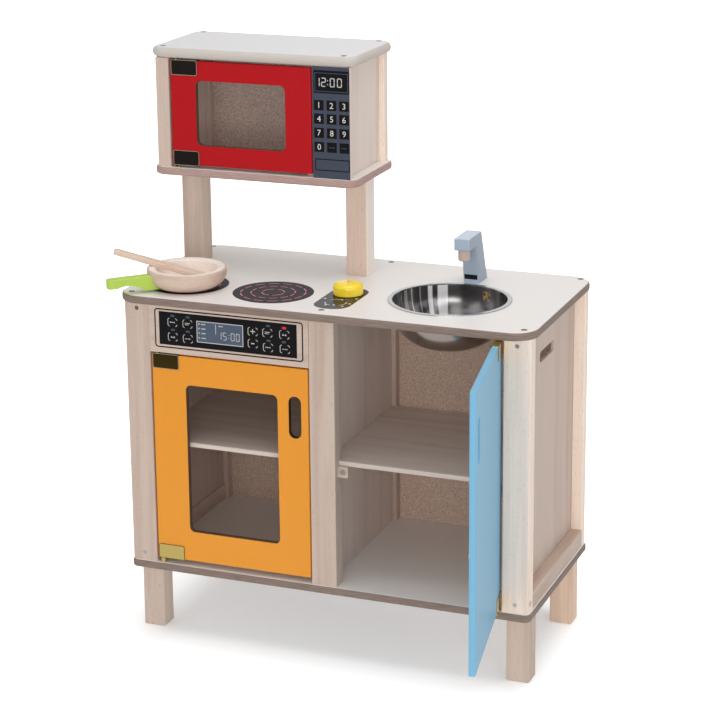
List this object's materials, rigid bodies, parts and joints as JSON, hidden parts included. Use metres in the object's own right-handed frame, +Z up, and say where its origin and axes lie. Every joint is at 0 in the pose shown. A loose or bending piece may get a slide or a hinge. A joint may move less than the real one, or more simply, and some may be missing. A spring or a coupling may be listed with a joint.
{
  "type": "play kitchen",
  "caption": "Child's wooden play kitchen: cabinet with oven and sink bays behind hinged doors, worktop with steel bowl, tap, hob, timer knob and pan, and a microwave on posts above",
  "frame": {"origin": "on the floor under the middle of the worktop", "axes": "+X to the right seen from the front, +Y to the back, +Z up"},
  "size_m": [0.6455, 0.5213, 0.854],
  "materials": {
    "beech": "planed and waxed, fine straight grain",
    "plywood": "sanded sheet with a clear coat",
    "hardboard": "brown, finely speckled",
    "ivory_board": "pale coated faces with a grey-brown edge",
    "white_paint": "smooth white paint over board",
    "plug_brown": "smooth brown caps",
    "red_paint": "satin red paint",
    "orange_paint": "satin orange paint",
    "blue_paint": "satin light blue paint",
    "slate_paint": "satin slate paint",
    "grey_blue_paint": "satin grey-blue paint",
    "yellow_paint": "glossy yellow paint",
    "green_paint": "satin lime green paint",
    "brass": "polished",
    "steel": "brushed"
  },
  "bodies": {
    "cabinet": {"base_board": "ivory_board", "leg_front_left": "beech", "leg_front_right": "beech", "leg_rear_left": "beech", "leg_rear_right": "beech", "front_post_left": "beech", "front_post_centre": "beech", "front_post_right": "beech", "rear_post_left": "beech", "rear_post_centre": "beech", "rear_post_right": "beech", "lower_rail_left": "beech", "lower_rail_right": "beech", "upper_rail_left": "beech", "upper_rail_right": "beech", "side_panel_left": "plywood", "side_panel_right": "plywood", "divider_panel": "plywood", "back_panel": "hardboard", "oven_shelf": "plywood", "oven_shelf_cleats": "beech", "sink_shelf": "plywood", "sink_shelf_cleats": "beech", "control_panel": "beech", "worktop": "ivory_board", "worktop_plugs": "plug_brown", "rail_plugs": "plug_brown", "post_screws": "steel", "tap_body": "grey_blue_paint", "tap_nozzle": "beech", "knob_spindle": "steel", "support_post_left": "beech", "support_post_right": "beech", "microwave_floor": "ivory_board", "microwave_top": "white_paint", "microwave_plugs": "plug_brown", "microwave_post_front_left": "beech", "microwave_post_rear_left": "beech", "microwave_post_rear_right": "beech", "keypad_board": "slate_paint", "microwave_side_left": "plywood", "microwave_side_right": "plywood", "microwave_back": "hardboard", "microwave_stops": "beech", "hinge_bushes": "brass", "door_magnets": "steel"},
    "oven_door": {"oven_door": "orange_paint", "oven_hinge_clamps": "brass", "oven_strike": "steel"},
    "sink_door": {"sink_door": "blue_paint", "sink_hinge_clamps": "brass", "sink_strike": "steel"},
    "microwave_door": {"microwave_door": "red_paint", "microwave_hinge_clamps": "brass", "microwave_strike": "steel"},
    "timer_knob": {"timer_knob": "yellow_paint"},
    "sink_bowl": {"sink_bowl": "steel"},
    "pan": {"pan_bowl": "beech", "pan_handle": "green_paint"},
    "spoon": {"spoon": "beech"}
  },
  "joints": [
    {"name": "oven_door_hinge", "type": "hinge", "parent": "cabinet", "child": "oven_door", "pos_m": [-0.2561, -0.1325, 0.276], "axis": [0, 0, -1], "range_deg": [0, 105]},
    {"name": "sink_door_hinge", "type": "hinge", "parent": "cabinet", "child": "sink_door", "pos_m": [0.2561, -0.1325, 0.311], "axis": [0, 0, 1], "range_deg": [-100, 8]},
    {"name": "microwave_door_hinge", "type": "hinge", "parent": "cabinet", "child": "microwave_door", "pos_m": [-0.2715, -0.0135, 0.759], "axis": [0, 0, -1], "range_deg": [0, 105]},
    {"name": "timer_knob_turn", "type": "hinge", "parent": "cabinet", "child": "timer_knob", "pos_m": [0.005, -0.046, 0.5205], "axis": [0, 0, 1], "continuous": true},
    {"name": "sink_bowl_lift", "type": "slide", "parent": "cabinet", "child": "sink_bowl", "axis": [0, 0, 1], "range_m": [0, 0.036]},
    {"name": "pan_lift", "type": "slide", "parent": "cabinet", "child": "pan", "axis": [0, 0, 1], "range_m": [0, 0.1]},
    {"name": "spoon_lift", "type": "slide", "parent": "pan", "child": "spoon", "axis": [0, 0, 1], "range_m": [0, 0.1]}
  ]
}
